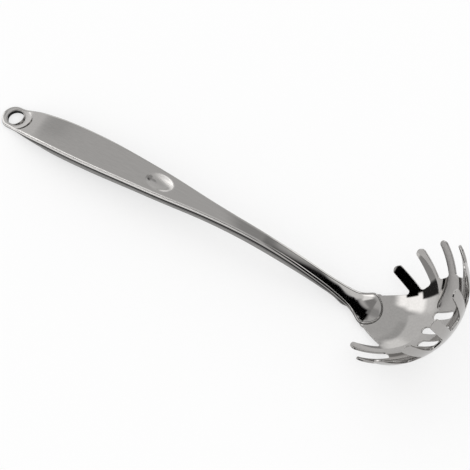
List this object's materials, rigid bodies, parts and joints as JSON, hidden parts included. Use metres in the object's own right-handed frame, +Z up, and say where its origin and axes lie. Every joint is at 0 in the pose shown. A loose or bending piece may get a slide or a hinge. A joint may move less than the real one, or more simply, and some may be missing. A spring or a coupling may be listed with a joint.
{
  "type": "pasta server",
  "caption": "Polished steel pasta server: a toothed, slotted bowl welded under the tongue of a hollow two-shell handle with a thumb dimple and a hanging hole.",
  "frame": {"origin": "on the table plane, under the middle of the bounding box, with the server lying on the bowl's round back and the handle's tail", "axes": "+X from the handle to the bowl, +Y to the server's left, +Z up, away from the table"},
  "size_m": [0.316, 0.0856, 0.0747],
  "materials": {
    "bowl_steel": "polished stainless steel sheet",
    "handle_steel": "polished stainless steel sheet",
    "back_steel": "polished stainless steel sheet",
    "sleeve_steel": "polished stainless steel tube",
    "weld_steel": "dull spot weld, hidden between the sheets"
  },
  "bodies": {
    "root": {"bowl": "bowl_steel", "handle_top_shell": "handle_steel", "handle_back_shell": "back_steel", "hanging_hole_sleeve": "sleeve_steel", "tongue_weld_middle": "weld_steel", "tongue_weld_left": "weld_steel", "tongue_weld_right": "weld_steel", "back_weld_left": "weld_steel", "back_weld_right": "weld_steel"}
  },
  "joints": []
}
